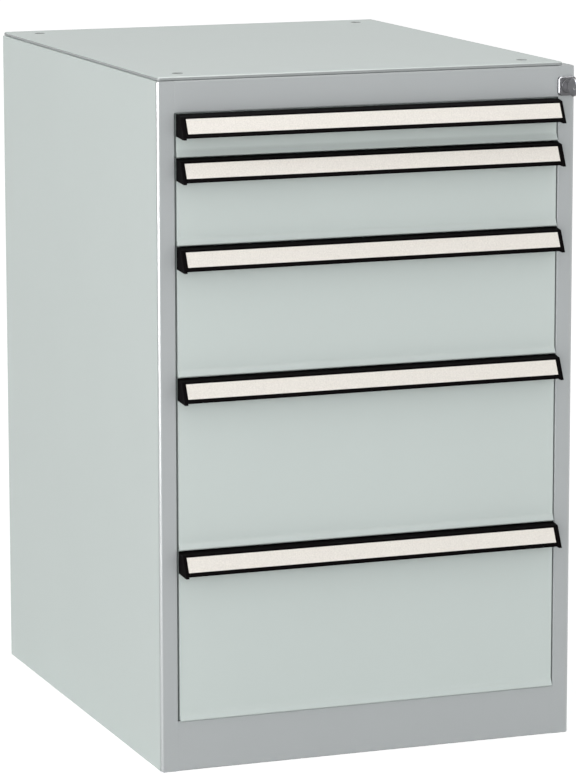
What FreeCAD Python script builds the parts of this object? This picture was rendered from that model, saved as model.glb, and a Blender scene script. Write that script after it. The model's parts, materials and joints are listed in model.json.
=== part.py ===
"""A drawer cabinet of folded sheet steel, with five drawers on rollers and a lock for all of them.

All sizes are in millimetres. X runs to the right, Y from the front to the back and Z upwards. The
origin lies on the floor, in the middle of the outline that the case and the key make together.
"""
import FreeCAD, Part
import math
import os
from FreeCAD import Vector

# Overall size, with the pitch of each drawer from the top down
WIDTH = 510.0
DEPTH = 600.0
DRAWER_PITCHES = [50.0, 100.0, 150.0, 200.0, 200.0]
TOP_RAIL_HEIGHT = 41.0
PLINTH_HEIGHT = 59.0
OPENING_TOP = PLINTH_HEIGHT + sum(DRAWER_PITCHES)
HEIGHT = OPENING_TOP + TOP_RAIL_HEIGHT
KEY_REACH = 31.0
FRONT = (KEY_REACH - DEPTH) / 2
BACK = FRONT + DEPTH
SIDE = WIDTH / 2

# Fits between pieces
RUN_GAP = 0.4
FIT_GAP = 0.2

# Case of side, back, base and top panels
CASE_SHEET = 1.5
CASE_FLANGE = 20.0
REAR_FLANGE = 15.0
SIDE_INNER = SIDE - CASE_SHEET
BASE_FLANGE = 20.0
TOP_EDGE = 3.8
TOP_SEAM = 0.8
TOP_INSET = 1.0
TOP_RIGHT_INSET = 15.0
TOP_CORNER = 3.0
TOP_CHAMFER = 1.2
TOP_HEM = 3.0
TOP_SEAT = 12.0
TOP_FLANGE = 30.0
FRAME_TOP = HEIGHT - TOP_EDGE - TOP_SEAM
TOP_HOLE_RADIUS = 6.5
TOP_HOLE_INSET = 36.0
CORNER_PLATE = 60.0
CORNER_PLATE_SHEET = 3.0
CORNER_HOLE_RADIUS = 5.5
CORNER_HOLE_INSET = 26.0

# Front frame of posts, top rail and plinth
FRAME_SHEET = 1.5
POST_WIDTH = 20.5
POST_DEPTH = 25.0
POST_BEND = 3.0
POST_CORNER = 3.0
FRAME_BEND = 1.5
RAIL_BEND = 2.0
JOGGLE_START = POST_BEND + 1.2
JOGGLE_END = JOGGLE_START + 1.0
PANEL_START = JOGGLE_END + 0.4
RAIL_FLANGE = 20.0
RAIL_RETURN = 25.0
PLINTH_RETURN = 40.0
OPENING = SIDE - POST_WIDTH
BASE_TOP = PLINTH_HEIGHT - FRAME_SHEET

# Drawers
RUNNER_SPACE = 14.0
FRONT_GAP = 2.0
PITCH_GAP = 0.5
DRAWER_SHEET = 1.2
FRONT_DEPTH = 18.0
FRONT_RETURN = 15.0
LIP_HEIGHT = 8.0
LIP_REACH = 4.5
TRAY_REAR_SPACE = 42.0
TRAY_LENGTH = DEPTH - FRONT_DEPTH - TRAY_REAR_SPACE
TRAY_LIFT = 6.0
TRAY_DROP = 6.0
TRAY_RIM = 8.0
FRONT_HALF = OPENING - FRONT_GAP
TRAY_HALF = OPENING - RUNNER_SPACE

# Runners of a fixed channel and a drawer channel, each with a roller on a pin
CHANNEL_SHEET = 1.2
CHANNEL_HEIGHT = 25.0
CHANNEL_LIFT = 10.0
FIXED_FLANGE = 7.0
DRAWER_FLANGE = RUNNER_SPACE - FIXED_FLANGE - RUN_GAP
FIXED_START = 45.0
FIXED_REAR_SPACE = 20.0
FIXED_LENGTH = DEPTH - FIXED_REAR_SPACE - FIXED_START
SLIDE_START = 20.0
SLIDE_LENGTH = FRONT_DEPTH + TRAY_LENGTH - SLIDE_START
ROLLER_RADIUS = 10.0
ROLLER_LIFT = 0.3
FRONT_ROLLER_WIDTH = DRAWER_FLANGE - CHANNEL_SHEET - RUN_GAP - FIT_GAP
REAR_ROLLER_WIDTH = FIXED_FLANGE - CHANNEL_SHEET - 2 * RUN_GAP
ROLLER_INSET = 12.0
FRONT_ROLLER_PLACE = FIXED_START + ROLLER_INSET
REAR_ROLLER_PLACE = SLIDE_START + SLIDE_LENGTH - ROLLER_INSET
PIN_RADIUS = 3.0
PIN_SIDES = 12

# Slotted uprights, and the hooks that hold the fixed channels in their slots
UPRIGHT_WIDTH = 30.0
UPRIGHT_SHEET = 1.5
UPRIGHT_INSET = 5.0
FRONT_UPRIGHT = FIXED_START + UPRIGHT_INSET
REAR_UPRIGHT = FIXED_START + FIXED_LENGTH - UPRIGHT_INSET - UPRIGHT_WIDTH
SLOT_PITCH = 50.0
SLOT_WIDTH = 4.0
SLOT_HEIGHT = 12.0
HOOK_HEIGHT = 8.0
HOOK_DROP = 4.0
HOOK_SHEET = 2.0

# Handle rails with a label strip and end caps, as drops below the drawer's top
HANDLE_WALL = 1.8
HANDLE_EDGE_DROP = 2.8
HANDLE_EDGE_REACH = 14.5
HANDLE_TILT = math.radians(27.0)
HANDLE_RIM_DROP = 26.0
HANDLE_LEG = 14.0
HANDLE_EDGE_BEND = 1.0
HANDLE_PROUD = 0.6
HANDLE_HALF = FRONT_HALF + HANDLE_PROUD
CAP_THICKNESS = 4.0
STRIP_TOP_DROP = 5.0
STRIP_BOTTOM_DROP = 21.2
STRIP_THICKNESS = 1.2
STRIP_PLAY = 1.4
STRIP_SHIFTS = [1.4, -0.5, 0.4, -0.4, -0.8]
STRIP_HALF = HANDLE_HALF - CAP_THICKNESS - STRIP_PLAY
CAP_DROP = 1.5

# Lock with its key, cam and bar
LOCK_DROP = 28.0
ESCUTCHEON_SIZE = 22.0
ESCUTCHEON_THICKNESS = 4.5
ESCUTCHEON_CORNER = 4.0
ESCUTCHEON_EDGE = 1.0
BARREL_RADIUS = 7.5
BARREL_SIDE_GAP = 0.5
BARREL_LENGTH = POST_DEPTH
NOTCH_HALF = 6.6
CLIP_SHEET = 1.2
CLIP_HALF = 7.8
CLIP_RISE = 8.0
CLIP_BRIDGE = 2.5
CYLINDER_RADIUS = 5.5
CYLINDER_PROUD = 0.7
HEAD_RADIUS = 7.5
HEAD_DEPTH = 3.0
STUB_RADIUS = 2.8
STUB_PROUD = 0.5
KEY_THICKNESS = 2.0
KEY_BLADE_HEIGHT = 8.0
KEY_BLADE_DEPTH = 14.0
KEY_BOW_RADIUS = 10.5
KEY_BOW_THICKNESS = 2.4
KEY_RING_HOLE = 2.6
KEY_RING_OFFSET = 5.2
CAM_GAP = 0.6
CAM_START = BARREL_LENGTH + RUN_GAP + CAM_GAP
CAM_SHEET = 2.0
CAM_HUB = 5.5
CAM_HALF_WIDTH = 5.0
CAM_TIP = 3.0
CAM_TIP_CORNER = 3.0
CAM_THROW = 4.5
CAM_PIN_RADIUS = 1.5
CAM_PIN_PROUD = 1.0
CAM_REST_ANGLE = math.radians(45.0)
SLOT_PLAY = 0.5
BAR_GAP = 2.0
BAR_START = CAM_START + CAM_SHEET + BAR_GAP
BAR_SHEET = 2.0
BAR_SIDE_GAP = 3.5
BAR_OVERHANG = 10.0
FINGER_HEIGHT = 3.0
FINGER_LIFT = 9.5
FINGER_START = CHANNEL_LIFT + FINGER_LIFT
FINGER_GRIP = 5.0
LUG_GAP = 0.5
LUG_START = BAR_START + BAR_SHEET + LUG_GAP
LUG_THICKNESS = 2.5
LUG_LIFT = 14.0
LUG_SIDE_GAP = 1.5
GUIDE_HEIGHT = 20.0
GUIDE_WALL = 2.2
GUIDE_GRIP = 4.0
GUIDE_INSET = 65.0
LOCK_X = OPENING + FRAME_SHEET + BARREL_SIDE_GAP + BARREL_RADIUS
LOCK_Z = HEIGHT - LOCK_DROP
BAR_LEFT = OPENING + FRAME_SHEET
BAR_BOTTOM = PLINTH_HEIGHT + FINGER_START - BAR_OVERHANG
BAR_TOP = LOCK_Z + BAR_OVERHANG
BAR_RIGHT = SIDE_INNER - BAR_SIDE_GAP


def place(axis, along, u, v):
    """The point at a distance along an axis, with its other two coordinates in X, Y, Z order."""
    spots = {"X": (along, u, v), "Y": (u, along, v), "Z": (u, v, along)}
    return Vector(*spots[axis])


def box(x_low, x_high, y_low, y_high, z_low, z_high):
    """A block between two corners."""
    return Part.makeBox(x_high - x_low, y_high - y_low, z_high - z_low, Vector(x_low, y_low, z_low))


def rod(radius, axis, start, end, u, v):
    """A round rod along an axis."""
    direction = place(axis, 1, 0, 0)
    return Part.makeCylinder(radius, end - start, place(axis, start, u, v), direction)


def many_sided_rod(radius, sides, axis, start, end, u, v):
    """A nearly round rod with few faces, for small pieces that repeat."""
    turn = 2 * math.pi / sides
    corners = []
    for index in range(sides):
        angle = index * turn
        corners.append((u + radius * math.cos(angle), v + radius * math.sin(angle), 0))
    return prism(corners, axis, start, end)


def mirrored(shape):
    """The same shape on the other side of the cabinet."""
    return shape.mirror(Vector(0, 0, 0), Vector(1, 0, 0))


def group(shapes):
    """Separate solids of one name."""
    return Part.makeCompound(shapes)


def heading(start, end):
    """The unit vector from one flat point to another."""
    return Vector(end[0] - start[0], end[1] - start[1], 0).normalize()


def outline(corners, axis, along):
    """A closed wire across an axis, through corners (u, v, radius) that an arc rounds."""
    edges = []
    ends = []
    for index, (u, v, radius) in enumerate(corners):
        corner = Vector(u, v, 0)
        back = heading(corners[index], corners[index - 1])
        ahead = heading(corners[index], corners[(index + 1) % len(corners)])
        if radius == 0:
            ends.append((corner, corner))
            continue
        half = back.getAngle(ahead) / 2
        reach = radius / math.tan(half)
        depth = radius / math.sin(half) - radius
        enter = corner + back * reach
        middle = corner + (back + ahead).normalize() * depth
        leave = corner + ahead * reach
        ends.append((enter, leave))
        arc = [place(axis, along, point.x, point.y) for point in (enter, middle, leave)]
        edges.append(Part.Arc(*arc).toShape())
    for index, (enter, leave) in enumerate(ends):
        before = ends[index - 1][1]
        line = [place(axis, along, point.x, point.y) for point in (before, enter)]
        if line[0].distanceToPoint(line[1]) > Part.Precision.confusion():
            edges.append(Part.makeLine(*line))
    return Part.Wire(Part.__sortEdges__(edges))


def prism(corners, axis, start, end):
    """A solid of one outline along an axis."""
    face = Part.Face(outline(corners, axis, start))
    return face.extrude(place(axis, end - start, 0, 0))


def folded(path, sheet, axis, start, end):
    """A folded sheet along an axis, whose thickness lies to the left of a path (u, v, radius)."""
    inner = []
    for index, (u, v, radius) in enumerate(path):
        before = heading(path[max(index - 1, 0)], path[max(index, 1)])
        last = len(path) - 1
        after = heading(path[min(index, last - 1)], path[min(index + 1, last)])
        before_side = Vector(-before.y, before.x, 0)
        after_side = Vector(-after.y, after.x, 0)
        shift = (before_side + after_side) * (sheet / (1 + before_side.dot(after_side)))
        turns_left = before.cross(after).z > 0
        inner_radius = radius - sheet if turns_left else radius + sheet
        inner_radius = max(inner_radius, 0) if radius > 0 else 0
        inner.append((u + shift.x, v + shift.y, inner_radius))
    return prism(path + inner[::-1], axis, start, end)


def rectangle(u_low, u_high, v_low, v_high, radius):
    """The corners of a rectangle, all rounded alike."""
    flat = [(u_low, v_low), (u_high, v_low), (u_high, v_high), (u_low, v_high)]
    return [(u, v, radius) for u, v in flat]


def both_sides(shape):
    """A solid of the right side together with its copy on the left."""
    return group([mirrored(shape), shape])


def drawer_levels():
    """The lower and the upper pitch line of each drawer, from the top down."""
    levels = []
    high = OPENING_TOP
    for pitch in DRAWER_PITCHES:
        levels.append((high - pitch, high))
        high -= pitch
    return levels


def side_panel():
    """The right side: a sheet folded inwards at its bottom, top and rear edge."""
    bend = CASE_SHEET
    path = [
        (SIDE - CASE_FLANGE, 0, 0),
        (SIDE, 0, bend),
        (SIDE, FRAME_TOP, bend),
        (SIDE - TOP_FLANGE, FRAME_TOP, 0),
    ]
    wall = folded(path, CASE_SHEET, "Y", FRONT + POST_DEPTH, BACK)
    edge = [
        (SIDE_INNER, 0, 0),
        (SIDE, 0, bend),
        (SIDE, FRAME_TOP, bend),
        (SIDE_INNER, FRAME_TOP, 0),
    ]
    strip = prism(edge, "Y", FRONT + PANEL_START, FRONT + POST_DEPTH)
    rear = box(
        SIDE - REAR_FLANGE, SIDE_INNER, BACK - CASE_SHEET, BACK, CASE_SHEET, FRAME_TOP - CASE_SHEET
    )
    return wall.fuse([strip, rear]).removeSplitter()


def back_panel():
    """The back: a sheet inside the rear flanges, folded forwards at its top."""
    inner_top = FRAME_TOP - CASE_SHEET
    sheet_front = BACK - 2 * CASE_SHEET
    sheet_back = BACK - CASE_SHEET
    sheet = box(-SIDE_INNER, SIDE_INNER, sheet_front, sheet_back, CASE_SHEET, inner_top)
    half = SIDE - TOP_FLANGE
    flange = box(-half, half, sheet_back - CASE_FLANGE, sheet_back, inner_top, FRAME_TOP)
    return sheet.fuse(flange).removeSplitter()


def top_outline(inset):
    """The left, right, front and rear limit of the top panel, at a distance inside its edges."""
    left = -SIDE + TOP_INSET + inset
    right = SIDE - TOP_RIGHT_INSET - inset
    return left, right, FRONT + TOP_INSET + inset, BACK - TOP_INSET - inset


def top_panel():
    """The top: a cover with a hemmed edge, a folded seat all round and a hole in each corner."""
    low = FRAME_TOP + TOP_SEAM
    left, right, front, back = top_outline(0)
    cover = prism(rectangle(left, right, front, back, TOP_CORNER), "Z", low, HEIGHT)
    upper = [edge for edge in cover.Edges if edge.BoundBox.ZMin > HEIGHT - FIT_GAP]
    cover = cover.makeChamfer(TOP_CHAMFER, upper)
    cover = cover.cut(box(*top_outline(TOP_HEM), low, HEIGHT - CASE_SHEET))
    seat_top = low + CASE_SHEET
    seat = box(*top_outline(TOP_HEM), FRAME_TOP, seat_top)
    cover = cover.fuse(seat.cut(box(*top_outline(TOP_HEM + TOP_SEAT), FRAME_TOP, seat_top)))
    left, right, front, back = top_outline(TOP_HOLE_INSET)
    for x in (left, right):
        for y in (front, back):
            cover = cover.cut(rod(TOP_HOLE_RADIUS, "Z", FRAME_TOP, HEIGHT, x, y))
    return cover.removeSplitter()


def base_panel():
    """The floor above the plinth, notched for the posts and folded down along its sides."""
    low = BASE_TOP - CASE_SHEET
    middle = FRONT + POST_DEPTH
    rear = BACK - 2 * CASE_SHEET
    floor = box(-SIDE_INNER, SIDE_INNER, middle, rear, low, BASE_TOP)
    tongue = box(-OPENING, OPENING, FRONT + RAIL_BEND, middle, low, BASE_TOP)
    flange = box(SIDE_INNER - CASE_SHEET, SIDE_INNER, middle, rear, low - BASE_FLANGE, low)
    return floor.fuse([tongue, flange, mirrored(flange)]).removeSplitter()


def corner_plates():
    """Four plates on the bottom flanges, each with a hole for a foot or a floor screw."""
    plates = []
    low = CASE_SHEET
    front_plate = FRONT + POST_DEPTH
    rear_plate = BACK - 2 * CASE_SHEET - CORNER_PLATE
    hole_x = SIDE_INNER - CORNER_HOLE_INSET
    for y, hole_y in (
        (front_plate, front_plate + CORNER_HOLE_INSET),
        (rear_plate, rear_plate + CORNER_PLATE - CORNER_HOLE_INSET),
    ):
        plate = box(
            SIDE_INNER - CORNER_PLATE, SIDE_INNER, y, y + CORNER_PLATE, low, low + CORNER_PLATE_SHEET
        )
        hole = rod(CORNER_HOLE_RADIUS, "Z", low, low + CORNER_PLATE_SHEET, hole_x, hole_y)
        plate = plate.cut(hole)
        plates += [mirrored(plate), plate]
    return group(plates)


def front_post():
    """The right post: a channel that steps in under the side panel, welded flush to the rails."""
    path = [
        (OPENING, FRONT + POST_DEPTH, 0),
        (OPENING, FRONT, FRAME_BEND),
        (SIDE, FRONT, POST_BEND),
        (SIDE, FRONT + JOGGLE_START, 0),
        (SIDE_INNER, FRONT + JOGGLE_END, 0),
        (SIDE_INNER, FRONT + POST_DEPTH, 0),
    ]
    post = folded(path, FRAME_SHEET, "Z", 0, FRAME_TOP)
    lid = box(
        OPENING + FRAME_SHEET,
        SIDE_INNER - FRAME_SHEET,
        FRONT + FRAME_SHEET,
        FRONT + POST_DEPTH,
        FRAME_TOP - FRAME_SHEET,
        FRAME_TOP,
    )
    edge = OPENING + FRAME_SHEET
    welds = [
        box(OPENING, edge, FRONT, FRONT + FRAME_SHEET, low, high)
        for low, high in ((0, PLINTH_HEIGHT), (OPENING_TOP, FRAME_TOP))
    ]
    post = post.fuse([lid] + welds)
    face = [
        (OPENING, 0, 0),
        (SIDE, 0, POST_CORNER),
        (SIDE, FRAME_TOP, POST_CORNER),
        (OPENING, FRAME_TOP, 0),
    ]
    return post.common(prism(face, "Y", FRONT, FRONT + POST_DEPTH)).removeSplitter()


def right_post():
    """The right post with the hole for the lock's barrel."""
    hole = rod(BARREL_RADIUS + FIT_GAP, "Y", FRONT, FRONT + POST_BEND, LOCK_X, LOCK_Z)
    return front_post().cut(hole)


def cross_member(low, high, low_return, high_return):
    """A channel across the front between the posts, open to the back."""
    path = [
        (FRONT + high_return, high, 0),
        (FRONT, high, RAIL_BEND),
        (FRONT, low, RAIL_BEND),
        (FRONT + low_return, low, 0),
    ]
    return folded(path, FRAME_SHEET, "X", -OPENING, OPENING)


def slot_middle(start):
    """The middle of the slots of an upright, from front to back."""
    return FRONT + start + UPRIGHT_WIDTH / 2


def upright(start):
    """A right upright: a channel open to the side panel, with a row of slots."""
    front = FRONT + start
    back = front + UPRIGHT_WIDTH
    path = [(SIDE_INNER, back, 0), (OPENING, back, 0), (OPENING, front, 0), (SIDE_INNER, front, 0)]
    top = FRAME_TOP - CASE_SHEET
    channel = folded(path, UPRIGHT_SHEET, "Z", BASE_TOP, top)
    slot_front = slot_middle(start) - SLOT_WIDTH / 2
    slot_end = OPENING + UPRIGHT_SHEET
    count = int((OPENING_TOP - PLINTH_HEIGHT) / SLOT_PITCH)
    slots = []
    for index in range(count):
        low = PLINTH_HEIGHT + CHANNEL_LIFT + index * SLOT_PITCH
        high = low + SLOT_HEIGHT
        slots.append(box(OPENING, slot_end, slot_front, slot_front + SLOT_WIDTH, low, high))
    return channel.cut(slots)


def uprights():
    """Four uprights, a front and a rear one on each side."""
    pairs = [upright(start) for start in (FRONT_UPRIGHT, REAR_UPRIGHT)]
    return group([mirrored(piece) for piece in pairs] + pairs)


def hook(start, low):
    """A hook of a fixed channel, which rests in a slot and drops behind the upright's sheet."""
    behind = OPENING + UPRIGHT_SHEET + FIT_GAP
    end = behind + CHANNEL_SHEET
    high = low + HOOK_HEIGHT
    corners = [
        (OPENING, low, 0),
        (behind, low, 0),
        (behind, low - HOOK_DROP, 0),
        (end, low - HOOK_DROP, 0),
        (end, high, 0),
        (OPENING, high, 0),
    ]
    front = slot_middle(start) - HOOK_SHEET / 2
    return prism(corners, "Y", front, front + HOOK_SHEET)


def fixed_channel(low):
    """A right runner channel hooked to the uprights, with the pin of the front roller."""
    outer = OPENING
    inner = OPENING - FIXED_FLANGE
    high = low + CHANNEL_HEIGHT
    path = [(inner, low, 0), (outer, low, 0), (outer, high, 0), (inner, high, 0)]
    start = FRONT + FIXED_START
    channel = folded(path, CHANNEL_SHEET, "Y", start, start + FIXED_LENGTH)
    pin_end = TRAY_HALF + CHANNEL_SHEET + RUN_GAP
    spot = (FRONT + FRONT_ROLLER_PLACE, front_roller_height(low))
    pin = many_sided_rod(PIN_RADIUS, PIN_SIDES, "X", pin_end, outer - CHANNEL_SHEET, *spot)
    hooks = [hook(place_of_upright, low) for place_of_upright in (FRONT_UPRIGHT, REAR_UPRIGHT)]
    return channel.fuse([pin] + hooks)


def drawer_channel(low):
    """A right channel on a tray, with the pin of the rear roller."""
    inner = TRAY_HALF
    outer = TRAY_HALF + DRAWER_FLANGE
    high = low + CHANNEL_HEIGHT
    path = [(outer, high, 0), (inner, high, 0), (inner, low, 0), (outer, low, 0)]
    start = FRONT + SLIDE_START
    channel = folded(path, CHANNEL_SHEET, "Y", start, start + SLIDE_LENGTH)
    pin_end = OPENING - CHANNEL_SHEET - RUN_GAP
    spot = (FRONT + REAR_ROLLER_PLACE, rear_roller_height(low))
    pin = many_sided_rod(PIN_RADIUS, PIN_SIDES, "X", inner + CHANNEL_SHEET, pin_end, *spot)
    return channel.fuse(pin)


def locked_channel(low):
    """A right drawer channel with the lug that the lock bar stops."""
    start = FRONT + LUG_START
    web = TRAY_HALF + CHANNEL_SHEET
    lug = box(
        web,
        OPENING - LUG_SIDE_GAP,
        start,
        start + LUG_THICKNESS,
        low + LUG_LIFT,
        low + CHANNEL_HEIGHT - CHANNEL_SHEET,
    )
    return drawer_channel(low).fuse(lug)


def front_roller_height(low):
    """The height of a front roller, which carries the drawer channel's upper flange."""
    return low + CHANNEL_HEIGHT - CHANNEL_SHEET - ROLLER_LIFT - ROLLER_RADIUS


def rear_roller_height(low):
    """The height of a rear roller, which runs on the fixed channel's lower flange."""
    return low + CHANNEL_SHEET + ROLLER_LIFT + ROLLER_RADIUS


def roller(inner, outer, y, z):
    """A wheel with a bore that runs on a pin."""
    wheel = rod(ROLLER_RADIUS, "X", inner, outer, y, z)
    bore = many_sided_rod(PIN_RADIUS + RUN_GAP, PIN_SIDES, "X", inner, outer, y, z)
    return wheel.cut(bore)


def front_roller(low):
    """A right front roller inside the drawer channel."""
    inner = TRAY_HALF + CHANNEL_SHEET + RUN_GAP
    outer = inner + FRONT_ROLLER_WIDTH
    return roller(inner, outer, FRONT + FRONT_ROLLER_PLACE, front_roller_height(low))


def rear_roller(low):
    """A right rear roller inside the fixed channel."""
    outer = OPENING - CHANNEL_SHEET - RUN_GAP
    inner = outer - REAR_ROLLER_WIDTH
    return roller(inner, outer, FRONT + REAR_ROLLER_PLACE, rear_roller_height(low))


def drawer_front(low, high):
    """A pan of sheet with returns round its back, whose lower edge flares forwards as a lip."""
    bottom = low + PITCH_GAP
    top = high - PITCH_GAP
    back = FRONT + FRONT_DEPTH
    sheet = DRAWER_SHEET
    crease = bottom + LIP_HEIGHT
    outer = [
        (back, top, 0),
        (FRONT, top, sheet),
        (FRONT, crease, LIP_HEIGHT),
        (FRONT - LIP_REACH, bottom, sheet),
        (back, bottom, 0),
    ]
    inner = [
        (back, top - sheet, 0),
        (FRONT + sheet, top - sheet, 0),
        (FRONT + sheet, crease, LIP_HEIGHT - sheet),
        (FRONT + sheet - LIP_REACH, bottom + sheet, 0),
        (back, bottom + sheet, 0),
    ]
    pan = prism(outer, "X", -FRONT_HALF, FRONT_HALF)
    pan = pan.cut(prism(inner, "X", -FRONT_HALF + sheet, FRONT_HALF - sheet))
    returns = box(-FRONT_HALF, FRONT_HALF, back - sheet, back, bottom, top)
    gap_half = FRONT_HALF - FRONT_RETURN
    gap_low = bottom + FRONT_RETURN
    gap_high = top - FRONT_RETURN
    returns = returns.cut(box(-gap_half, gap_half, back - sheet, back, gap_low, gap_high))
    return pan.fuse(returns).removeSplitter()


def drawer_tray(low, high):
    """Two side walls whose rims turn outwards, with a floor and two end plates welded between them."""
    bottom = low + TRAY_LIFT
    top = high - TRAY_DROP
    front = FRONT + FRONT_DEPTH
    back = front + TRAY_LENGTH
    sheet = DRAWER_SHEET
    inner = TRAY_HALF - sheet
    path = [(TRAY_HALF + TRAY_RIM, top, 0), (inner, top, 0), (inner, bottom, 0)]
    wall = folded(path, sheet, "Y", front, back)
    floor = box(-inner, inner, front, back, bottom, bottom + sheet)
    front_plate = box(-inner, inner, front, front + sheet, bottom + sheet, top)
    rear_plate = box(-inner, inner, back - sheet, back, bottom + sheet, top)
    return group([wall, mirrored(wall), floor, front_plate, rear_plate])


def handle_nose(high, drop, inset):
    """A point of a handle's sloping front, at a drop below the drawer's top and inside its face."""
    lean = (drop - HANDLE_EDGE_DROP) * math.tan(HANDLE_TILT)
    return FRONT - HANDLE_EDGE_REACH - lean + inset / math.cos(HANDLE_TILT), high - drop


def handle_rail(high):
    """A rail whose hollow is open from below, with a groove for the label strip in its face."""
    wall = HANDLE_WALL
    behind = wall + STRIP_THICKNESS
    under = HANDLE_EDGE_DROP + wall
    corners = [
        (FRONT, high - PITCH_GAP, 0),
        (*handle_nose(high, HANDLE_EDGE_DROP, 0), HANDLE_EDGE_BEND),
        (*handle_nose(high, STRIP_TOP_DROP, 0), 0),
        (*handle_nose(high, STRIP_TOP_DROP, STRIP_THICKNESS), 0),
        (*handle_nose(high, STRIP_BOTTOM_DROP, STRIP_THICKNESS), 0),
        (*handle_nose(high, STRIP_BOTTOM_DROP, 0), 0),
        (*handle_nose(high, HANDLE_RIM_DROP, 0), HANDLE_EDGE_BEND),
        (*handle_nose(high, HANDLE_RIM_DROP, behind), 0),
        (*handle_nose(high, under, behind), 0),
        (FRONT - wall, high - PITCH_GAP - wall, 0),
        (FRONT - wall, high - HANDLE_LEG, 0),
        (FRONT, high - HANDLE_LEG, 0),
    ]
    half = HANDLE_HALF - CAP_THICKNESS
    return prism(corners, "X", -half, half)


def label_strip(high, shift):
    """A flat strip in the groove of a handle rail, a little to one side within its play."""
    corners = [
        (*handle_nose(high, STRIP_TOP_DROP, 0), 0),
        (*handle_nose(high, STRIP_BOTTOM_DROP, 0), 0),
        (*handle_nose(high, STRIP_BOTTOM_DROP, STRIP_THICKNESS), 0),
        (*handle_nose(high, STRIP_TOP_DROP, STRIP_THICKNESS), 0),
    ]
    return prism(corners, "X", shift - STRIP_HALF, shift + STRIP_HALF)


def handle_cap(high):
    """A right end cap, which closes a handle rail and drops a little below its rim."""
    rim = HANDLE_RIM_DROP + CAP_DROP
    corners = [
        (FRONT, high - PITCH_GAP, 0),
        (*handle_nose(high, HANDLE_EDGE_DROP, 0), 0),
        (*handle_nose(high, rim, 0), 0),
        (*handle_nose(high, rim, HANDLE_WALL + STRIP_THICKNESS), 0),
        (FRONT, high - HANDLE_RIM_DROP, 0),
    ]
    return prism(corners, "X", HANDLE_HALF - CAP_THICKNESS, HANDLE_HALF)


def clip_start():
    """Where the lock's clip starts, against the inner face of the post."""
    return FRONT + FRAME_SHEET


def lock_escutcheon():
    """A square plate on the frame with the lock's barrel behind it, notched for its clip."""
    half = ESCUTCHEON_SIZE / 2
    square = rectangle(LOCK_X - half, LOCK_X + half, LOCK_Z - half, LOCK_Z + half, ESCUTCHEON_CORNER)
    face = FRONT - ESCUTCHEON_THICKNESS
    plate = prism(square, "Y", face, FRONT)
    outer = [edge for edge in plate.Edges if edge.BoundBox.YMax < face + FIT_GAP]
    plate = plate.makeChamfer(ESCUTCHEON_EDGE, outer)
    barrel = rod(BARREL_RADIUS, "Y", FRONT, FRONT + BARREL_LENGTH, LOCK_X, LOCK_Z)
    bore = rod(CYLINDER_RADIUS + RUN_GAP, "Y", face, FRONT + BARREL_LENGTH, LOCK_X, LOCK_Z)
    recess_end = face - CYLINDER_PROUD + HEAD_DEPTH + RUN_GAP
    recess = rod(HEAD_RADIUS + RUN_GAP, "Y", face, recess_end, LOCK_X, LOCK_Z)
    start = clip_start()
    notch = box(
        LOCK_X + NOTCH_HALF,
        LOCK_X + BARREL_RADIUS,
        start,
        start + CLIP_SHEET + FIT_GAP,
        LOCK_Z - BARREL_RADIUS,
        LOCK_Z + BARREL_RADIUS,
    )
    opposite = notch.mirror(Vector(LOCK_X, 0, 0), Vector(1, 0, 0))
    return plate.fuse(barrel).cut([bore, recess, notch, opposite])


def lock_clip():
    """A fork pushed up over the barrel's notches, which holds the lock in the post."""
    start = clip_start()
    end = start + CLIP_SHEET
    seat = LOCK_Z - BARREL_RADIUS - FIT_GAP / 2
    fork = box(LOCK_X - CLIP_HALF, LOCK_X + CLIP_HALF, start, end, seat - CLIP_BRIDGE, LOCK_Z + CLIP_RISE)
    inner = NOTCH_HALF + FIT_GAP / 2
    return fork.cut(box(LOCK_X - inner, LOCK_X + inner, start, end, seat, LOCK_Z + CLIP_RISE))


def lock_cylinder():
    """The turning cylinder, with a wider head, a keyway and a stub for the cam behind."""
    start = FRONT - ESCUTCHEON_THICKNESS - CYLINDER_PROUD
    end = FRONT + BARREL_LENGTH + RUN_GAP
    head = rod(HEAD_RADIUS, "Y", start, start + HEAD_DEPTH, LOCK_X, LOCK_Z)
    body = rod(CYLINDER_RADIUS, "Y", start, end, LOCK_X, LOCK_Z)
    stub = rod(STUB_RADIUS, "Y", end, FRONT + CAM_START + CAM_SHEET + STUB_PROUD, LOCK_X, LOCK_Z)
    half_width = KEY_THICKNESS / 2 + FIT_GAP
    half_height = KEY_BLADE_HEIGHT / 2 + FIT_GAP
    keyway = box(
        LOCK_X - half_width,
        LOCK_X + half_width,
        start,
        FRONT + KEY_BLADE_DEPTH + FIT_GAP,
        LOCK_Z - half_height,
        LOCK_Z + half_height,
    )
    return body.fuse([head, stub]).cut(keyway)


def key():
    """A flat key with a round bow and a hole for its ring."""
    bow_y = FRONT - KEY_REACH + KEY_BOW_RADIUS
    half_bow = KEY_BOW_THICKNESS / 2
    bow = rod(KEY_BOW_RADIUS, "X", LOCK_X - half_bow, LOCK_X + half_bow, bow_y, LOCK_Z)
    ring = (bow_y - KEY_RING_OFFSET, LOCK_Z)
    bow = bow.cut(rod(KEY_RING_HOLE, "X", LOCK_X - half_bow, LOCK_X + half_bow, *ring))
    half_width = KEY_THICKNESS / 2
    half_height = KEY_BLADE_HEIGHT / 2
    blade = box(
        LOCK_X - half_width,
        LOCK_X + half_width,
        bow_y + KEY_BOW_RADIUS / 2,
        FRONT + KEY_BLADE_DEPTH,
        LOCK_Z - half_height,
        LOCK_Z + half_height,
    )
    return bow.fuse(blade)


def cam_pin_spot(angle):
    """The place of the cam's pin across the lock's axis, at an angle below the horizontal."""
    return LOCK_X - CAM_THROW * math.cos(angle), LOCK_Z - CAM_THROW * math.sin(angle)


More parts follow.
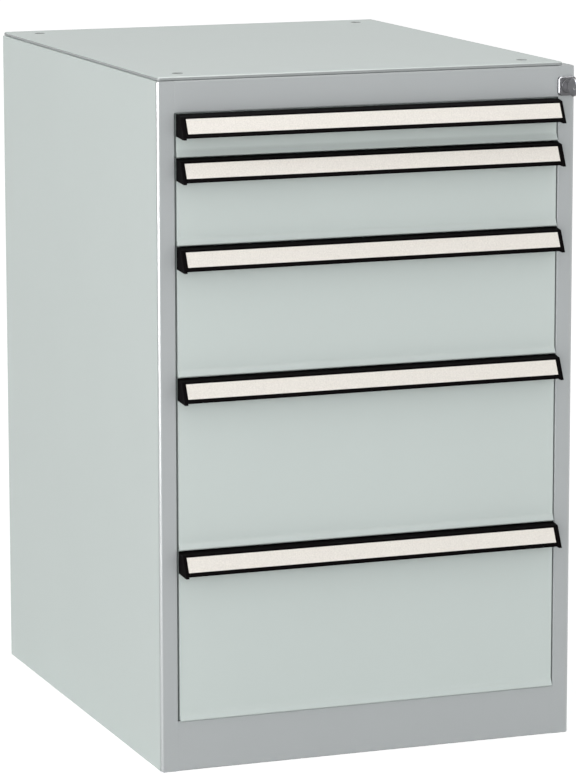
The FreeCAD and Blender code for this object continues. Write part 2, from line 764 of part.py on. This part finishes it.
def lock_cam():
    """A lever on the cylinder's stub, whose pin lifts the lock bar."""
    start = FRONT + CAM_START
    end = start + CAM_SHEET
    tip = CAM_THROW + CAM_TIP
    lever = [
        (-tip, -CAM_HALF_WIDTH, CAM_TIP_CORNER),
        (CAM_HUB, -CAM_HALF_WIDTH, CAM_HALF_WIDTH - FIT_GAP),
        (CAM_HUB, CAM_HALF_WIDTH, CAM_HALF_WIDTH - FIT_GAP),
        (-tip, CAM_HALF_WIDTH, CAM_TIP_CORNER),
    ]
    plate = prism(lever, "Y", start, end)
    plate.rotate(Vector(0, 0, 0), Vector(0, 1, 0), -math.degrees(CAM_REST_ANGLE))
    plate.translate(Vector(LOCK_X, 0, LOCK_Z))
    pin_end = FRONT + BAR_START + BAR_SHEET + CAM_PIN_PROUD
    pin = rod(CAM_PIN_RADIUS, "Y", start, pin_end, *cam_pin_spot(CAM_REST_ANGLE))
    seat = rod(STUB_RADIUS, "Y", start, end, LOCK_X, LOCK_Z)
    return plate.fuse(pin).cut(seat)


def lock_bar():
    """A flat bar with a slot for the cam's pin and a finger for each drawer."""
    start = FRONT + BAR_START
    end = start + BAR_SHEET
    finger_end = OPENING - LUG_SIDE_GAP - FINGER_GRIP
    fingers = []
    for low, high in drawer_levels():
        finger = low + FINGER_START
        fingers.append(box(finger_end, BAR_LEFT, start, end, finger, finger + FINGER_HEIGHT))
    bar = box(BAR_LEFT, BAR_RIGHT, start, end, BAR_BOTTOM, BAR_TOP)
    bar = bar.fuse(fingers)
    pin_x, pin_z = cam_pin_spot(CAM_REST_ANGLE)
    reach = CAM_PIN_RADIUS + SLOT_PLAY
    slot_left = LOCK_X - CAM_THROW - reach
    slot = box(slot_left, pin_x + reach, start, end, pin_z - reach, pin_z + reach)
    return bar.cut(slot).removeSplitter()


def guide_places():
    """The heights of the lock bar's guides: near its ends and in the middle."""
    low = BAR_BOTTOM + GUIDE_INSET
    high = BAR_TOP - GUIDE_INSET
    return [low, (low + high) / 2, high]


def lock_bar_guide(middle):
    """A block on the side panel that grips the bar's outer edge."""
    low = middle - GUIDE_HEIGHT / 2
    high = middle + GUIDE_HEIGHT / 2
    groove_start = FRONT + BAR_START - RUN_GAP
    groove_end = FRONT + BAR_START + BAR_SHEET + RUN_GAP
    start = groove_start - GUIDE_WALL
    end = groove_end + GUIDE_WALL
    block = box(BAR_RIGHT - GUIDE_GRIP, SIDE_INNER, start, end, low, high)
    groove = box(BAR_RIGHT - GUIDE_GRIP, BAR_RIGHT + RUN_GAP, groove_start, groove_end, low, high)
    return block.cut(groove)


def case_pieces():
    """Every piece that stays still, by name."""
    right_side = side_panel()
    channels = [fixed_channel(low + CHANNEL_LIFT) for low, high in drawer_levels()]
    return {
        "side_panel_right": right_side,
        "side_panel_left": mirrored(right_side),
        "back_panel": back_panel(),
        "top_panel": top_panel(),
        "base_panel": base_panel(),
        "base_corner_plates": corner_plates(),
        "front_post_right": right_post(),
        "front_post_left": mirrored(front_post()),
        "top_rail": cross_member(OPENING_TOP, FRAME_TOP, RAIL_RETURN, RAIL_FLANGE),
        "plinth": cross_member(0, PLINTH_HEIGHT, PLINTH_RETURN, RAIL_RETURN),
        "uprights": uprights(),
        "runner_channels_right": group(channels),
        "runner_channels_left": group([mirrored(channel) for channel in channels]),
        "lock_escutcheon": lock_escutcheon(),
        "lock_clip": lock_clip(),
        "lock_bar_guides": group([lock_bar_guide(middle) for middle in guide_places()]),
    }


def drawer_pieces(number, low, high):
    """Every piece of one drawer and its rollers, by name."""
    channel_low = low + CHANNEL_LIFT
    pieces = {
        "drawer_front": drawer_front(low, high),
        "drawer_tray": drawer_tray(low, high),
        "handle_rail": handle_rail(high),
        "label_strip": label_strip(high, STRIP_SHIFTS[number - 1]),
        "handle_caps": both_sides(handle_cap(high)),
        "drawer_channels": group([mirrored(drawer_channel(channel_low)), locked_channel(channel_low)]),
        "front_rollers": both_sides(front_roller(channel_low)),
        "rear_rollers": both_sides(rear_roller(channel_low)),
    }
    return {f"{name}_{number}": shape for name, shape in pieces.items()}


def lock_pieces():
    """The pieces that turn with the key, and the bar that they lift."""
    return {
        "lock_cylinder": lock_cylinder(),
        "key": key(),
        "lock_cam": lock_cam(),
        "lock_bar": lock_bar(),
    }


def main():
    """Build every piece and write it under its own name."""
    pieces = case_pieces()
    for number, (low, high) in enumerate(drawer_levels(), start=1):
        pieces.update(drawer_pieces(number, low, high))
    pieces.update(lock_pieces())
    os.makedirs("parts", exist_ok=True)
    for name, shape in pieces.items():
        shape.exportStep(f"parts/{name}.step")


main()
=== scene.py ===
# Looks of the drawer cabinet: powder coated sheet, black handle rails, pale label strips and the lock.
import json
import math

import bmesh
import bpy
from mathutils import Matrix, Vector


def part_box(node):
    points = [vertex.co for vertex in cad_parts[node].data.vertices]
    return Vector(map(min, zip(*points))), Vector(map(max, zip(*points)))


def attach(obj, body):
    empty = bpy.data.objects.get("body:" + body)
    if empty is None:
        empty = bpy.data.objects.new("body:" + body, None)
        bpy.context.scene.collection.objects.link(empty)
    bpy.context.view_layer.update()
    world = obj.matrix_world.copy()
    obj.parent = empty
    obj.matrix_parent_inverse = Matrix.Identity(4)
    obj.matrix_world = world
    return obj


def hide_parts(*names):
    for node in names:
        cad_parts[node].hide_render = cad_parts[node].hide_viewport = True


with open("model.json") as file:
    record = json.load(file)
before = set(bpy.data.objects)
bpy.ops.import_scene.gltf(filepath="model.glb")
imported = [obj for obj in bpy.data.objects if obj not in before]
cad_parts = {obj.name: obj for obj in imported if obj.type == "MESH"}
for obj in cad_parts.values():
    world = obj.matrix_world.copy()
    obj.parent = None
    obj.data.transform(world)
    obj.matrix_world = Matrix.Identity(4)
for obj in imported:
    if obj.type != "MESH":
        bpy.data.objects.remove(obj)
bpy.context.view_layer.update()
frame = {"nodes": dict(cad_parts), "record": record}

MM = 0.001
QUARTER = math.pi / 2
WHITE = (1.0, 1.0, 1.0, 1.0)
DRAWERS = range(1, 6)
SLOTS = {part["node"]: part["material_slot"] for part in frame["record"]["subparts"]}
BODIES = {}
for body, members in frame["record"]["behaviour"]["bodies"].items():
    for member in members:
        BODIES[member] = body


# Colours, by their values on a screen under plain light

def srgb(red, green, blue):
    """A linear colour from its 0 to 255 values on a screen, by the standard screen curve."""
    linear = []
    for value in (red, green, blue):
        share = value / 255
        linear.append(share / 12.92 if share <= 0.04045 else ((share + 0.055) / 1.055) ** 2.4)
    return (*linear, 1.0)


PANEL_GREY = srgb(198, 207, 204)
FRAME_GREY = srgb(174, 178, 179)
STRIP_CREAM = srgb(235, 230, 222)
RAIL_BLACK = srgb(5, 3, 4)
ZINC_GREY = srgb(168, 172, 176)
NYLON_WHITE = srgb(226, 225, 218)
LOCK_METAL = srgb(98, 98, 100)
KEY_METAL = srgb(128, 128, 130)
# The next grey is painted shade: a darker grey for the top panel's upright edges, standing in for the
# shade that falls on them.
SHADED_EDGE_GREY = srgb(152, 156, 156)
FLOOR_WHITE = srgb(250, 250, 250)
PAINT_SHINE = 0.25
BEND_SHINE = 1.0


# Node helpers

SURFACE_OUTPUTS = [
    ("Colour", "NodeSocketColor"),
    ("Roughness", "NodeSocketFloat"),
    ("Normal", "NodeSocketVector"),
]


def new_group(name, inputs, outputs):
    """An empty shader node group with named sockets, and its input and output nodes."""
    group = bpy.data.node_groups.new(name, "ShaderNodeTree")
    for label, kind, value in inputs:
        socket = group.interface.new_socket(label, in_out="INPUT", socket_type=kind)
        if value is not None:
            socket.default_value = value
    for label, kind in outputs:
        group.interface.new_socket(label, in_out="OUTPUT", socket_type=kind)
    return group, group.nodes.new("NodeGroupInput"), group.nodes.new("NodeGroupOutput")


def node(tree, kind, **settings):
    """A node with its properties and input values set by name."""
    made = tree.nodes.new(kind)
    for label, value in settings.items():
        if label == "inputs":
            for socket, level in value.items():
                made.inputs[socket].default_value = level
        else:
            setattr(made, label, value)
    return made


def noise(tree, place, size, detail):
    """A noise whose blotches are about one size across, in metres."""
    made = node(tree, "ShaderNodeTexNoise", inputs={"Detail": detail})
    scale = node(tree, "ShaderNodeMath", operation="DIVIDE", inputs={0: 1.0})
    tree.links.new(size, scale.inputs[1])
    tree.links.new(place, made.inputs["Vector"])
    tree.links.new(scale.outputs[0], made.inputs["Scale"])
    return made.outputs["Fac"]


def spread(tree, value, low, high):
    """A value of 0 to 1 spread between two sockets."""
    made = node(tree, "ShaderNodeMapRange")
    tree.links.new(value, made.inputs["Value"])
    tree.links.new(low, made.inputs["To Min"])
    tree.links.new(high, made.inputs["To Max"])
    return made.outputs["Result"]


def toned(tree, colour, factor):
    """A colour made lighter or darker by a factor."""
    made = node(tree, "ShaderNodeVectorMath", operation="SCALE")
    tree.links.new(colour, made.inputs[0])
    tree.links.new(factor, made.inputs["Scale"])
    return made.outputs["Vector"]


def end_group(group, given, result, drift, grain, depth):
    """Ends a group: the drift tones its colour, and the grain sets its gloss and its bump."""
    tone = spread(group, drift, given.outputs["Darkest"], given.outputs["Lightest"])
    group.links.new(toned(group, given.outputs["Colour"], tone), result.inputs["Colour"])
    gloss = spread(group, grain, given.outputs["Glossiest"], given.outputs["Dullest"])
    group.links.new(gloss, result.inputs["Roughness"])
    bump = node(group, "ShaderNodeBump", inputs={"Strength": 1.0})
    group.links.new(depth, bump.inputs["Distance"])
    group.links.new(grain, bump.inputs["Height"])
    group.links.new(bump.outputs["Normal"], result.inputs["Normal"])


def coat_group():
    """Powder coat: a fine orange peel, with a slight drift in tone and gloss."""
    group, given, result = new_group(
        "powder_coat",
        [
            ("Colour", "NodeSocketColor", None),
            ("Peel size", "NodeSocketFloat", 0.0016),
            ("Peel height", "NodeSocketFloat", 0.00002),
            ("Drift size", "NodeSocketFloat", 0.18),
            ("Darkest", "NodeSocketFloat", 0.985),
            ("Lightest", "NodeSocketFloat", 1.015),
            ("Glossiest", "NodeSocketFloat", 0.42),
            ("Dullest", "NodeSocketFloat", 0.52),
        ],
        SURFACE_OUTPUTS,
    )
    place = node(group, "ShaderNodeTexCoord").outputs["Object"]
    drift = noise(group, place, given.outputs["Drift size"], detail=2.0)
    peel = noise(group, place, given.outputs["Peel size"], detail=2.0)
    end_group(group, given, result, drift, peel, given.outputs["Peel height"])
    return group


def grain_group():
    """A fine grain, stretched along one axis where the finish is brushed."""
    group, given, result = new_group(
        "fine_grain",
        [
            ("Colour", "NodeSocketColor", None),
            ("Stretch", "NodeSocketVector", (1.0, 1.0, 1.0)),
            ("Grain size", "NodeSocketFloat", 0.001),
            ("Grain height", "NodeSocketFloat", 0.00001),
            ("Darkest", "NodeSocketFloat", 0.95),
            ("Lightest", "NodeSocketFloat", 1.05),
            ("Glossiest", "NodeSocketFloat", 0.3),
            ("Dullest", "NodeSocketFloat", 0.5),
        ],
        SURFACE_OUTPUTS,
    )
    place = node(group, "ShaderNodeTexCoord").outputs["Object"]
    along = node(group, "ShaderNodeVectorMath", operation="MULTIPLY")
    group.links.new(place, along.inputs[0])
    group.links.new(given.outputs["Stretch"], along.inputs[1])
    grain = noise(group, along.outputs["Vector"], given.outputs["Grain size"], detail=3.0)
    end_group(group, given, result, grain, grain, given.outputs["Grain height"])
    return group


POWDER_COAT = coat_group()
FINE_GRAIN = grain_group()


def finish(name, group, colour, metallic=0.0, specular=0.5, **values):
    """A material whose colour, roughness and normal come from a shared group."""
    material = bpy.data.materials.new(name)
    material.use_nodes = True
    tree = material.node_tree
    shader = tree.nodes["Principled BSDF"]
    shader.inputs["Metallic"].default_value = metallic
    shader.inputs["Specular IOR Level"].default_value = specular
    effect = node(tree, "ShaderNodeGroup", node_tree=group)
    effect.inputs["Colour"].default_value = colour
    for label, value in values.items():
        effect.inputs[label.replace("_", " ").capitalize()].default_value = value
    tree.links.new(effect.outputs["Colour"], shader.inputs["Base Color"])
    tree.links.new(effect.outputs["Roughness"], shader.inputs["Roughness"])
    tree.links.new(effect.outputs["Normal"], shader.inputs["Normal"])
    return material


ROLLED = (1.0, 0.08, 1.0)  # the grain of rolled sheet runs from front to back
FINISHES = {
    "panel_paint": finish("panel_paint", POWDER_COAT, PANEL_GREY, specular=PAINT_SHINE),
    "frame_paint": finish("frame_paint", POWDER_COAT, FRAME_GREY, specular=PAINT_SHINE),
    "handle_black": finish(
        "handle_black", FINE_GRAIN, RAIL_BLACK, specular=0.015,
        grain_size=0.0006, grain_height=0.00002, glossiest=0.42, dullest=0.58,
    ),
    "strip_aluminium": finish(
        "strip_aluminium", FINE_GRAIN, STRIP_CREAM, specular=0.3,
        grain_size=0.0012, darkest=0.78, lightest=1.18, glossiest=0.45, dullest=0.6,
    ),
    "runner_steel": finish(
        "runner_steel", FINE_GRAIN, ZINC_GREY, metallic=1.0, stretch=ROLLED,
        grain_size=0.0015, darkest=0.88, lightest=1.06, glossiest=0.28, dullest=0.44,
    ),
    "roller_plastic": finish(
        "roller_plastic", FINE_GRAIN, NYLON_WHITE,
        grain_size=0.002, darkest=0.97, lightest=1.02, glossiest=0.35, dullest=0.45,
    ),
    "lock_chrome": finish(
        "lock_chrome", FINE_GRAIN, LOCK_METAL, metallic=1.0,
        grain_size=0.0008, darkest=0.85, lightest=1.1, glossiest=0.3, dullest=0.42,
    ),
    "key_steel": finish(
        "key_steel", FINE_GRAIN, KEY_METAL, metallic=1.0,
        grain_size=0.0007, darkest=0.85, lightest=1.1, glossiest=0.25, dullest=0.42,
    ),
}
# Painted shade on the top panel's upright edges, in a darker grey than the panel.
SHADED_EDGE_PAINT = finish("top_edge_painted_shade", POWDER_COAT, SHADED_EDGE_GREY, specular=PAINT_SHINE)
BEND_PAINT = finish(
    "bend_paint", POWDER_COAT, FRAME_GREY, specular=BEND_SHINE, glossiest=0.26, dullest=0.32,
)


# Pieces made from the nodes, with their folds and edges rounded

MERGE_REACH = 0.001 * MM
FLAT_ANGLE = math.radians(1.0)
BEVEL_ANGLE = math.radians(30.0)
BEVEL_SEGMENTS = 2
FACE_WEIGHT = 80
UPRIGHT_LIMIT = 0.1
BEND_LIMIT = 0.05
BEND_REACH = 3.5 * MM
FOLD = 0.35 * MM
SHARP = 0.2 * MM


def merged_copy(name):
    """A copy of a node's mesh, with its loose triangles joined into whole faces."""
    mesh = frame["nodes"][name].data.copy()
    shape = bmesh.new()
    shape.from_mesh(mesh)
    bmesh.ops.remove_doubles(shape, verts=shape.verts, dist=MERGE_REACH)
    bmesh.ops.dissolve_limit(shape, angle_limit=FLAT_ANGLE, verts=shape.verts, edges=shape.edges)
    shape.to_mesh(mesh)
    shape.free()
    return mesh


def shaded_top_edge(face):
    """Says whether a face of the top panel is an upright edge, which gets a painted shade."""
    return abs(face.normal.z) < UPRIGHT_LIMIT


def outer_bend(face):
    """Says whether a face lies on a post's outer bend, where the paint shines."""
    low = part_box("front_post_left")[0]
    at_side = abs(face.center.x) > abs(low.x) - BEND_REACH
    at_front = face.center.y < low.y + BEND_REACH
    turned = abs(face.normal.x) > BEND_LIMIT and face.normal.y < -BEND_LIMIT
    return at_side and at_front and turned


# Faces with a paint of their own: painted shade on the top panel's upright edges, and a glossier paint
# on the posts' outer bends.
ACCENTS = {
    "top_panel": (shaded_top_edge, SHADED_EDGE_PAINT),
    "front_post_left": (outer_bend, BEND_PAINT),
    "front_post_right": (outer_bend, BEND_PAINT),
}


def accent(mesh, chosen, paint):
    """Gives the chosen faces of a mesh a paint of their own."""
    mesh.materials.append(paint)
    for face in mesh.polygons:
        if chosen(face):
            face.material_index = 1


def rounded(name, edge):
    """The node's own shape with its sharp edges rounded, shown in its place."""
    mesh = merged_copy(name)
    mesh.materials.clear()
    mesh.materials.append(FINISHES[SLOTS[name]])
    if name in ACCENTS:
        accent(mesh, *ACCENTS[name])
    mesh.polygons.foreach_set("use_smooth", [True] * len(mesh.polygons))
    piece = bpy.data.objects.new(f"{name}_finished", mesh)
    bpy.context.collection.objects.link(piece)
    bevel = piece.modifiers.new("rounded_edges", "BEVEL")
    bevel.width = edge
    bevel.segments = BEVEL_SEGMENTS
    bevel.limit_method = "ANGLE"
    bevel.angle_limit = BEVEL_ANGLE
    bevel.use_clamp_overlap = True
    shading = piece.modifiers.new("flat_faces_stay_flat", "WEIGHTED_NORMAL")
    shading.weight = FACE_WEIGHT
    shading.keep_sharp = True
    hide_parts(name)
    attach(piece, BODIES[name])


ROUNDED = {
    "side_panel_left": FOLD,
    "side_panel_right": FOLD,
    "back_panel": FOLD,
    "top_panel": FOLD,
    "front_post_left": SHARP,
    "front_post_right": SHARP,
    "top_rail": SHARP,
    "plinth": SHARP,
    "lock_escutcheon": FOLD,
    "lock_cylinder": SHARP,
    "key": FOLD,
}
for number in DRAWERS:
    ROUNDED[f"drawer_front_{number}"] = SHARP
    ROUNDED[f"handle_rail_{number}"] = SHARP
    ROUNDED[f"handle_caps_{number}"] = FOLD
    ROUNDED[f"label_strip_{number}"] = SHARP

for name, edge in ROUNDED.items():
    rounded(name, edge)

for name, part in frame["nodes"].items():
    if name not in ROUNDED:
        part.data.materials.clear()
        part.data.materials.append(FINISHES[SLOTS[name]])


# Rivets, in rows made by one tree of nodes

RIVET_RADIUS = 3.5 * MM
RIVET_HEIGHT = 1.1 * MM
RIVET_SIDES = 16
RIVET_OUTLINE = [
    (RIVET_RADIUS, 0.0),
    (RIVET_RADIUS, 0.3 * RIVET_HEIGHT),
    (0.85 * RIVET_RADIUS, 0.75 * RIVET_HEIGHT),
    (0.5 * RIVET_RADIUS, RIVET_HEIGHT),
]
RIVET_INSET = 30.0 * MM
SIDE_RIVETS = 5
FRONT_RIVETS = 4
TRAY_RIM = 8.0 * MM
TRAY_SHEET = 1.2 * MM


def lathed_head(name, outline, sides):
    """A closed head turned about Z, from its outline of radii and heights."""
    shape = bmesh.new()
    rings = []
    for radius, height in outline:
        ring = []
        for step in range(sides):
            turn = 2 * math.pi * step / sides
            ring.append(shape.verts.new((radius * math.cos(turn), radius * math.sin(turn), height)))
        rings.append(ring)
    for lower, upper in zip(rings, rings[1:]):
        for step in range(sides):
            after = (step + 1) % sides
            shape.faces.new((lower[step], lower[after], upper[after], upper[step]))
    shape.faces.new(rings[0][::-1])
    shape.faces.new(rings[-1])
    mesh = bpy.data.meshes.new(name)
    shape.to_mesh(mesh)
    shape.free()
    return bpy.data.objects.new(name, mesh)


def row_tree():
    """Geometry Nodes that set a row of equal heads along a line."""
    tree = bpy.data.node_groups.new("rivet_row", "GeometryNodeTree")
    inputs = [
        ("Start", "NodeSocketVector"),
        ("Step", "NodeSocketVector"),
        ("Count", "NodeSocketInt"),
        ("Turn", "NodeSocketVector"),
        ("Head", "NodeSocketObject"),
        ("Finish", "NodeSocketMaterial"),
    ]
    for label, kind in inputs:
        tree.interface.new_socket(label, in_out="INPUT", socket_type=kind)
    tree.interface.new_socket("Row", in_out="OUTPUT", socket_type="NodeSocketGeometry")
    given = node(tree, "NodeGroupInput").outputs
    line = node(tree, "GeometryNodeMeshLine", mode="OFFSET")
    tree.links.new(given["Count"], line.inputs["Count"])
    tree.links.new(given["Start"], line.inputs["Start Location"])
    tree.links.new(given["Step"], line.inputs["Offset"])
    head = node(tree, "GeometryNodeObjectInfo")
    tree.links.new(given["Head"], head.inputs["Object"])
    turn = node(tree, "FunctionNodeEulerToRotation")
    tree.links.new(given["Turn"], turn.inputs["Euler"])
    copies = node(tree, "GeometryNodeInstanceOnPoints")
    tree.links.new(line.outputs["Mesh"], copies.inputs["Points"])
    tree.links.new(head.outputs["Geometry"], copies.inputs["Instance"])
    tree.links.new(turn.outputs["Rotation"], copies.inputs["Rotation"])
    real = node(tree, "GeometryNodeRealizeInstances")
    tree.links.new(copies.outputs["Instances"], real.inputs["Geometry"])
    dressed = node(tree, "GeometryNodeSetMaterial")
    tree.links.new(real.outputs["Geometry"], dressed.inputs["Geometry"])
    tree.links.new(given["Finish"], dressed.inputs["Material"])
    result = node(tree, "NodeGroupOutput")
    tree.links.new(dressed.outputs["Geometry"], result.inputs["Row"])
    return tree


RIVET_ROW = row_tree()
RIVET_HEAD = lathed_head("rivet_head", RIVET_OUTLINE, RIVET_SIDES)


def row_mesh(**values):
    """The plain mesh of one row, from the values of the tree's inputs."""
    holder = bpy.data.objects.new("rivet_row", bpy.data.meshes.new("rivet_row"))
    bpy.context.collection.objects.link(holder)
    row = holder.modifiers.new("row", "NODES")
    row.node_group = RIVET_ROW
    for item in RIVET_ROW.interface.items_tree:
        if item.in_out == "INPUT":
            row[item.identifier] = values[item.name.lower()]
    seen = bpy.context.evaluated_depsgraph_get()
    mesh = bpy.data.meshes.new_from_object(holder.evaluated_get(seen))
    bpy.data.objects.remove(holder)
    return mesh


def rivet_row(start, end, count, turn):
    """A row of rivets from one place to another."""
    step = tuple((Vector(end) - Vector(start)) / (count - 1))
    steel = FINISHES["runner_steel"]
    return row_mesh(start=start, step=step, count=count, turn=turn, head=RIVET_HEAD, finish=steel)


def joined(name, meshes, body):
    """One piece of several meshes, riding on a body."""
    shape = bmesh.new()
    for mesh in meshes:
        shape.from_mesh(mesh)
    whole = bpy.data.meshes.new(name)
    shape.to_mesh(whole)
    shape.free()
    whole.materials.append(FINISHES["runner_steel"])
    piece = bpy.data.objects.new(name, whole)
    bpy.context.collection.objects.link(piece)
    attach(piece, body)


def tray_rivets(number):
    """The rivets inside a tray: along both sides, through the runners, and across the front."""
    low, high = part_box(f"drawer_tray_{number}")
    runner_low, runner_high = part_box(f"drawer_channels_{number}")
    wall = high[0] - TRAY_RIM - TRAY_SHEET
    front = low[1] + TRAY_SHEET
    height = (runner_low[2] + runner_high[2]) / 2
    first = low[1] + RIVET_INSET
    last = high[1] - RIVET_INSET
    rows = []
    for side in (-1, 1):
        near = (side * wall, first, height)
        far = (side * wall, last, height)
        rows.append(rivet_row(near, far, SIDE_RIVETS, turn=(0, -side * QUARTER, 0)))
    reach = wall - RIVET_INSET
    left = (-reach, front, height)
    right = (reach, front, height)
    rows.append(rivet_row(left, right, FRONT_RIVETS, turn=(-QUARTER, 0, 0)))
    joined(f"tray_rivets_{number}", rows, BODIES[f"drawer_tray_{number}"])


for number in DRAWERS:
    tray_rivets(number)
bpy.data.objects.remove(RIVET_HEAD)


# Floor, light and camera

FLOOR_GLOW = 0.4
FLOOR_HALF = 12.0
FRONT_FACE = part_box("front_post_left")[0][1]
MIDDLE = Vector((0.0, 0.0, 0.4))


def seen_rays(tree):
    """One for the rays of the camera, of reflections and of clear things, and nought for all others."""
    rays = node(tree, "ShaderNodeLightPath")
    mirrored = node(tree, "ShaderNodeMath", operation="MAXIMUM")
    tree.links.new(rays.outputs["Is Camera Ray"], mirrored.inputs[0])
    tree.links.new(rays.outputs["Is Glossy Ray"], mirrored.inputs[1])
    clear = node(tree, "ShaderNodeMath", operation="MAXIMUM")
    tree.links.new(mirrored.outputs[0], clear.inputs[0])
    tree.links.new(rays.outputs["Is Transmission Ray"], clear.inputs[1])
    return clear.outputs[0]


def floor():
    """A wide pale floor that looks white in the open and keeps the object's shadow."""
    material = bpy.data.materials.new("pale_floor")
    material.use_nodes = True
    tree = material.node_tree
    shader = tree.nodes["Principled BSDF"]
    shader.inputs["Base Color"].default_value = FLOOR_WHITE
    shader.inputs["Roughness"].default_value = 1.0
    shader.inputs["Specular IOR Level"].default_value = 0.0
    glow = node(tree, "ShaderNodeEmission", inputs={"Color": WHITE, "Strength": FLOOR_GLOW})
    dark = node(tree, "ShaderNodeEmission", inputs={"Strength": 0.0})
    shown = node(tree, "ShaderNodeMixShader")
    tree.links.new(seen_rays(tree), shown.inputs["Fac"])
    tree.links.new(dark.outputs[0], shown.inputs[1])
    tree.links.new(glow.outputs[0], shown.inputs[2])
    both = node(tree, "ShaderNodeAddShader")
    tree.links.new(shader.outputs[0], both.inputs[0])
    tree.links.new(shown.outputs[0], both.inputs[1])
    tree.links.new(both.outputs[0], tree.nodes["Material Output"].inputs["Surface"])
    mesh = bpy.data.meshes.new("floor")
    half = FLOOR_HALF
    corners = [(-half, -half, 0), (half, -half, 0), (half, half, 0), (-half, half, 0)]
    mesh.from_pydata(corners, [], [(0, 1, 2, 3)])
    mesh.materials.append(material)
    piece = bpy.data.objects.new("floor", mesh)
    bpy.context.collection.objects.link(piece)


def world_light(strength):
    """Even light from all sides, with a white ground behind the object."""
    world = bpy.data.worlds.new("studio")
    bpy.context.scene.world = world
    world.use_nodes = True
    tree = world.node_tree
    ambient = tree.nodes["Background"]
    ambient.inputs["Color"].default_value = WHITE
    ambient.inputs["Strength"].default_value = strength
    ground = node(tree, "ShaderNodeBackground", inputs={"Color": WHITE, "Strength": 1.0})
    mix = node(tree, "ShaderNodeMixShader")
    tree.links.new(seen_rays(tree), mix.inputs["Fac"])
    tree.links.new(ambient.outputs[0], mix.inputs[1])
    tree.links.new(ground.outputs[0], mix.inputs[2])
    tree.links.new(mix.outputs[0], tree.nodes["World Output"].inputs["Surface"])


def lamp(name, azimuth, elevation, distance, size, watts, sheen_only=False):
    """A soft square lamp aimed at the cabinet's middle, in front at azimuth 0 and at the right at 90.

    A sheen_only lamp is seen in reflections alone, and any other lamp lights without being reflected.
    """
    light = bpy.data.lights.new(name, "AREA")
    light.shape = "SQUARE"
    light.size = size
    light.energy = watts
    across = math.radians(azimuth)
    above = math.radians(elevation)
    level = math.cos(above)
    way = Vector((math.sin(across) * level, -math.cos(across) * level, math.sin(above)))
    made = bpy.data.objects.new(name, light)
    made.location = MIDDLE + distance * way
    made.rotation_euler = (-way).to_track_quat("-Z", "Y").to_euler()
    made.visible_camera = False
    made.visible_diffuse = not sheen_only
    made.visible_glossy = sheen_only
    bpy.context.collection.objects.link(made)


def camera(spot, yaw, pitch, roll, lens):
    """A camera by its place and its turns, in radians."""
    data = bpy.data.cameras.new("photo_view")
    data.lens = lens
    data.clip_end = 100.0
    made = bpy.data.objects.new("photo_view", data)
    level = math.cos(pitch)
    right = Vector((math.cos(yaw), math.sin(yaw), 0))
    ahead = Vector((-math.sin(yaw) * level, math.cos(yaw) * level, -math.sin(pitch)))
    up = right.cross(ahead)
    axes = Matrix((right, up, -ahead)).transposed().to_4x4()
    made.matrix_world = Matrix.Translation(spot) @ axes @ Matrix.Rotation(roll, 4, "Z")
    bpy.context.collection.objects.link(made)
    bpy.context.scene.camera = made


floor()
world_light(strength=0.7)
lamp("front_lamp", azimuth=-15.0, elevation=6.0, distance=4.0, size=2.4, watts=44.0)
lamp("side_lamp", azimuth=-85.0, elevation=12.0, distance=4.0, size=2.4, watts=12.0)
lamp(
    "left_sheen", azimuth=-65.0, elevation=5.0, distance=3.0, size=4.0, watts=1000.0, sheen_only=True,
)
lamp(
    "top_sheen", azimuth=-20.0, elevation=80.0, distance=3.0, size=2.5, watts=300.0, sheen_only=True,
)
camera(
    spot=(-1.69067, FRONT_FACE - 4.25377, 1.26035),
    yaw=-0.3579, pitch=0.1799, roll=-0.0014, lens=185.66,
)
bpy.context.scene.view_settings.view_transform = "Standard"
